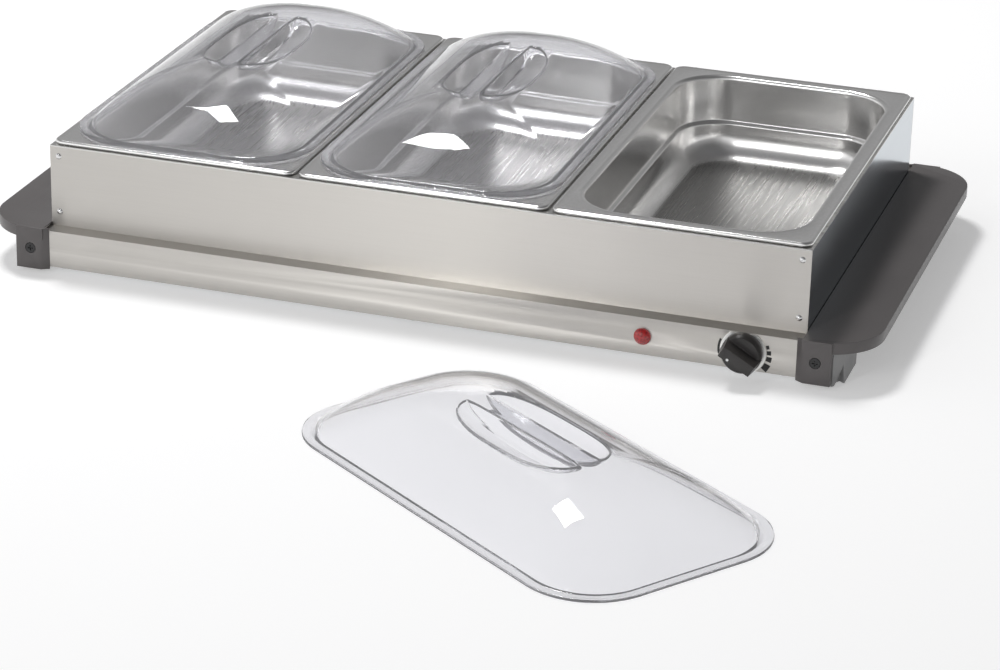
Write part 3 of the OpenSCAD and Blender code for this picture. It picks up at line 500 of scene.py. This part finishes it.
def dome_size(half_w, half_l, h, s, o):
    """Half sizes, corner radius and height of the dome at the share s of its height, drawn in by o."""
    a0 = half_w - LID_FLANGE
    r0 = LID_R - LID_FLANGE
    a = a0 * (1 - s ** ACROSS_POWERS[0]) ** ACROSS_POWERS[1] - o
    b = (half_l - LID_FLANGE) * (1 - s ** ALONG_POWERS[0]) ** ALONG_POWERS[1] - o
    return a, b, a * (r0 / a0 + (TOP_ROUNDNESS - r0 / a0) * s), LID_T + (h - LID_T) * s - o


def dome_height(half_w, half_l, h, x, y):
    """Height of the dome over a point, by halving the share of its height."""
    low, high = 0.0, 1.0
    for _ in range(HALVINGS):
        s = (low + high) / 2
        a, b, r, _z = dome_size(half_w, half_l, h, s, 0)
        if math.hypot(max(abs(x) - a + r, 0), max(abs(y) - b + r, 0)) <= r:
            low = s
        else:
            high = s
    return LID_T + (h - LID_T) * low


def oval_reach(a, b, x0, ux, uy):
    """Distance from (x0, 0) along a direction to an oval that is fuller than an ellipse."""
    low, high = 0.0, a + b
    for _ in range(HALVINGS):
        d = (low + high) / 2
        x, y = x0 + d * ux, d * uy
        if abs(x / a) ** (2 / OVAL_POWER) + abs(y / b) ** (2 / OVAL_POWER) < 1:
            low = d
        else:
            high = d
    return low


def half_oval(a, b, cut, theta):
    """Point in the direction theta on the part of an oval right of x = cut, with rounded corners."""
    x0 = (a + cut) / 2
    ux, uy = math.cos(theta), math.sin(theta)
    d = oval_reach(a, b, x0, ux, uy)
    if ux < -TINY:
        straight = (x0 - cut) / -ux
        d = (d ** -OVAL_SHARPNESS + straight ** -OVAL_SHARPNESS) ** (-1 / OVAL_SHARPNESS)
    return x0 + d * ux, d * uy


def dish_cutter(name, half_w, half_l, h, side, grown):
    """Half of the oval dish beside the bar, or the cup around it when grown by the wall."""
    a, b = GRIP_W / 2 + grown, GRIP_L / 2 + grown
    depth = GRIP_DEPTH + grown
    cut = GRIP_BAR / 2 - grown
    deepest = math.acos((cut + DISH_BOTTOM_W) / a)
    columns = []
    for i in range(DISH_STEPS):
        theta = 2 * math.pi * i / DISH_STEPS
        edge = half_oval(a, b, cut, theta)
        top = dome_height(half_w, half_l, h, *edge) - DISH_EDGE_DROP if grown == 0 else h + CUP_OVER_TOP
        rim = math.asin(max(0.0, (h - top) / depth))
        column = []
        for k in range(DISH_LEVELS + 1):
            t = deepest + (rim - deepest) * k / DISH_LEVELS
            z = h - depth * math.sin(t)
            up = max(0.0, DISH_FOOT_R - (z - (h - depth * math.sin(deepest))))
            lean = DISH_FOOT_R - math.sqrt(DISH_FOOT_R ** 2 - up ** 2)
            bar_side = min(cut + lean * DISH_LEAN, a * math.cos(t) - DISH_LEAST_W)
            x, y = half_oval(a * math.cos(t), b * math.cos(t), bar_side, theta)
            column.append((side * x, y, z))
        if grown == 0:
            for wider, rise in DISH_EDGE:
                x, y = half_oval(a * math.cos(rim) + wider, b * math.cos(rim) + wider, cut - wider, theta)
                column.append((side * x, y, dome_height(half_w, half_l, h, x, y) + rise))
        columns.append(column)
    rings = [[column[k] for column in columns] for k in range(len(columns[0]))]
    if side < 0:
        rings = [list(reversed(k)) for k in rings]
    return solid(name, rings)


def lid_mesh(name, half_w, half_l, h):
    """Clear lid around the origin: a dome on a flat flange, with an oval dish and a bar across it."""
    shares = [1 - (1 - k / DOME_ROWS) ** DOME_CROWDING for k in range(DOME_ROWS)] + [DOME_TOP]

    def flange(inset, z):
        return ring(half_w - inset, half_l - inset, LID_R - inset, z, LID_CORNER_STEPS)

    def skin(s, o):
        a, b, r, z = dome_size(half_w, half_l, h, s, o)
        return ring(a, b, r, z, LID_CORNER_STEPS)

    foot = LID_FLANGE - DOME_FOOT_W
    outer = [flange(FLANGE_EDGE, 0), flange(0, FLANGE_EDGE), flange(0, LID_T - FLANGE_EDGE),
             flange(FLANGE_EDGE_TOP, LID_T - FLANGE_EDGE_TOP), flange(FLANGE_EDGE, LID_T),
             flange(foot, LID_T), flange(foot + DOME_FOOT[0], LID_T + DOME_FOOT[1])]
    outer += [skin(s, 0) for s in shares if s > DOME_LOWEST]
    inner = [flange(LID_FLANGE + LID_T, HOLLOW_START)]
    inner += [k for k in (skin(s, LID_T) for s in shares if s < HOLLOW_TOP) if k[0][2] > HOLLOW_LOWEST]
    body = solid(name, outer)
    hollow = solid("hollow", inner)
    cut_out(hollow, *(dish_cutter("cup", half_w, half_l, h, side, LID_T) for side in (-1, 1)))
    cut_out(body, hollow)
    cut_out(body, *(dish_cutter("dish", half_w, half_l, h, side, 0.0) for side in (-1, 1)))
    data = body.data
    tidy_normals(data)
    smooth_by_angle(data, LID_HARD_ANGLE)
    bpy.data.objects.remove(body)
    return data


def make_lids():
    low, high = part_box("left_lid")
    size = (high - low) / MM
    master = lid_mesh("lid", size.x / 2, size.y / 2, size.z)
    for side, turn in (("left", 0.0), ("centre", 0.0), ("loose", LOOSE_TURN)):
        node = side + "_lid"
        low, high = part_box(node)
        at = (low + high) / 2
        data = master.copy()
        turned = Matrix.Rotation(math.radians(turn), 4, "Z")
        data.transform(Matrix.Translation((at.x, at.y, low.z)) @ turned)
        dress(new_object(node + "_shell", data), "clear", node)


# ---------- solids shown as they are, and rounded copies ----------

# Solids that are shown as they are, by material
NODES_OF = {
    "zinc": ("bottom_plate", "bottom_screws", "spreader_studs", "stud_nuts", "element_clips",
             "thermostat_nut", "lamp_clip"),
    "mill_aluminium": ("heat_spreader",),
    "burnt_steel": ("heating_element",),
    "mat": ("insulation_pad",),
    "ceramic": ("thermostat_body", "thermal_fuse"),
    "ivory": ("terminal_block", "lamp_holder"),
    "silicone": ("wiring",),
    "brass": ("earth_stud",),
    "charcoal": ("cord_gland", "gland_nut"),
    "print_black": ("dial_scale",),
    "print_white": ("knob_dot",),
    "bright_steel": ("thermostat_shaft", "frame_rivets"),
    "top_steel": ("divider_bars", "frame_top"),
    "screw_black": ("handle_screws",),
    "lens_red": ("lamp_lens",),
    "ring_steel": ("dial_ring",),
    "front_steel": ("frame_rear_panel", "frame_front_panel"),
    "side_steel": ("frame_left_panel", "frame_right_panel"),
}

# Pieces whose edges are rounded: node, material and radius
MOULDED = [
    ("left_handle", "charcoal", 1.1), ("right_handle", "charcoal", 1.1), ("control_knob", "knob_black", 0.9),
    ("feet", "grey_plastic", 0.8), ("tray_shell", "front_steel", 0.35),
]


def soften(node, material, width):
    """Makes a copy of a node's solid with its edges rounded, which stands for the node."""
    piece = new_object(node + "_moulded", frame["nodes"][node].data.copy())
    b = bmesh.new()
    b.from_mesh(piece.data)
    bmesh.ops.remove_doubles(b, verts=b.verts, dist=SOLID_MERGE_DISTANCE)
    bmesh.ops.dissolve_limit(b, angle_limit=math.radians(FLAT_ANGLE), verts=b.verts, edges=b.edges)
    b.to_mesh(piece.data)
    b.free()
    modified(piece, "BEVEL", width=width * MM, segments=BEVEL_SEGMENTS, limit_method="ANGLE",
             angle_limit=math.radians(BEVEL_ANGLE), use_clamp_overlap=True)
    smooth_by_angle(piece.data, MOULDED_HARD_ANGLE)
    dress(piece, material, node)


def dress_nodes():
    for material, nodes in NODES_OF.items():
        for node in nodes:
            data = frame["nodes"][node].data
            data.materials.clear()
            data.materials.append(MATERIALS[material])
    for node, material, width in MOULDED:
        soften(node, material, width)


# ---------- stage ----------

# In metres from here on
FLOOR_HALF = 8.0
FLOOR_DROP = 0.0005          # how far the floor lies under the feet
FLOOR_GREY = 0.80
FLOOR_GLOW = 0.35            # strength of the glow, where 1 is white

# The world's grey by height, from level to straight up, and its strength towards the brighter side
SKY_LEVEL = (0.95, 0.95, 0.96, 1)
SKY_BETWEEN = ((0.16, 0.85), (0.40, 0.72), (0.70, 0.32))
SKY_TOP = (0.30, 0.30, 0.31, 1)
SKY_BLUE = 1.01              # how much bluer than grey the sky is
BRIGHT_SIDE = (-0.75, -0.66, 0)
BRIGHTENING = {"From Min": 0.05, "From Max": 0.88, "To Min": 0.40, "To Max": 1.3}

LAMPS = (
    dict(name="key", at=(-0.65, 0.75, 2.1), aim=(0, 0.05, 0.05), size=(0.5, 0.5), watts=30),
    dict(name="strip", at=(-0.72, -2.3, 1.3), aim=(0, 0.0, 0.1), size=(0.07, 1.3), watts=9),
)

# The camera, fitted to the photograph: angles in degrees, lens and sensor in millimetres
CAMERA_AZIMUTH = 17.4547
CAMERA_ELEVATION = 23.0949
CAMERA_ROLL = 1.4566
CAMERA_AT = (0.68655, -1.98847, 0.8909)
CAMERA_LENS = 123.70
CAMERA_SENSOR = 36.0
CAMERA_CLIP = (0.05, 100)


def make_floor():
    """Pale floor. What the camera, metal and glass see of it has a white glow added to its lit colour."""
    h = FLOOR_HALF
    data = bpy.data.meshes.new("floor")
    data.from_pydata([(-h, -h, 0), (h, -h, 0), (h, h, 0), (-h, h, 0)], [], [(0, 1, 2, 3)])
    floor = new_object("floor", data)
    g = Graph("floor")
    path = g.node("ShaderNodeLightPath")
    seen = g.math("MAXIMUM", path.outputs["Is Camera Ray"], path.outputs["Is Glossy Ray"])
    seen = g.math("MAXIMUM", seen, path.outputs["Is Transmission Ray"])
    data.materials.append(g.finish(g.shader(
        Base_Color=(FLOOR_GREY, FLOOR_GREY, FLOOR_GREY), Roughness=0.9, Specular_IOR_Level=0.0,
        Emission_Color=(1.0, 1.0, 1.0), Emission_Strength=g.math("MULTIPLY", seen, FLOOR_GLOW))))
    floor.location.z = -FLOOR_DROP


def make_world():
    """Soft room: lighter near level than overhead, and stronger towards one side."""
    world = bpy.data.worlds.new("studio")
    scene.world = world
    world.use_nodes = True
    nodes, links = world.node_tree.nodes, world.node_tree.links
    back = nodes["Background"]
    place = nodes.new("ShaderNodeTexCoord").outputs["Generated"]
    split = nodes.new("ShaderNodeSeparateXYZ")
    ramp = nodes.new("ShaderNodeValToRGB")
    links.new(place, split.inputs[0])
    links.new(split.outputs["Z"], ramp.inputs[0])
    links.new(ramp.outputs[0], back.inputs["Color"])
    towards = nodes.new("ShaderNodeVectorMath")
    towards.operation = "DOT_PRODUCT"
    towards.inputs[1].default_value = BRIGHT_SIDE
    links.new(place, towards.inputs[0])
    side = nodes.new("ShaderNodeMapRange")
    links.new(towards.outputs["Value"], side.inputs["Value"])
    for key, number in BRIGHTENING.items():
        side.inputs[key].default_value = number
    links.new(side.outputs[0], back.inputs["Strength"])
    stops = ramp.color_ramp.elements
    for height, grey in SKY_BETWEEN:
        stops.new(height).color = (grey, grey, grey * SKY_BLUE, 1)
    stops[0].color = SKY_LEVEL
    stops[-1].color = SKY_TOP


def make_lamp(name, at, aim, size, watts):
    data = bpy.data.lights.new(name, "AREA")
    data.shape = "RECTANGLE"
    data.size, data.size_y = size
    data.energy = watts
    lamp = new_object(name, data)
    lamp.location = at
    lamp.rotation_mode = "QUATERNION"
    lamp.rotation_quaternion = (Vector(aim) - Vector(at)).to_track_quat("-Z", "Y")


def make_camera():
    """Camera where the photograph was taken from: turned to the right, looking down, with a slight roll."""
    azimuth, elevation, roll = (math.radians(v) for v in (CAMERA_AZIMUTH, CAMERA_ELEVATION, CAMERA_ROLL))
    back = Vector((math.sin(azimuth) * math.cos(elevation), -math.cos(azimuth) * math.cos(elevation),
                   math.sin(elevation)))
    right = Vector((math.cos(azimuth), math.sin(azimuth), 0))
    up = back.cross(right)
    turned = math.cos(roll) * right + math.sin(roll) * up
    upright = math.cos(roll) * up - math.sin(roll) * right
    data = bpy.data.cameras.new("camera")
    data.sensor_width = CAMERA_SENSOR
    data.lens = CAMERA_LENS
    camera = new_object("camera", data)
    turn = Matrix((turned, upright, back)).transposed()
    camera.matrix_world = Matrix.Translation(CAMERA_AT) @ turn.to_4x4()
    data.clip_start, data.clip_end = CAMERA_CLIP
    scene.camera = camera


make_pans()
make_lids()
dress_nodes()
make_floor()
make_world()
for lamp in LAMPS:
    make_lamp(**lamp)
make_camera()
scene.view_settings.view_transform = "Standard"
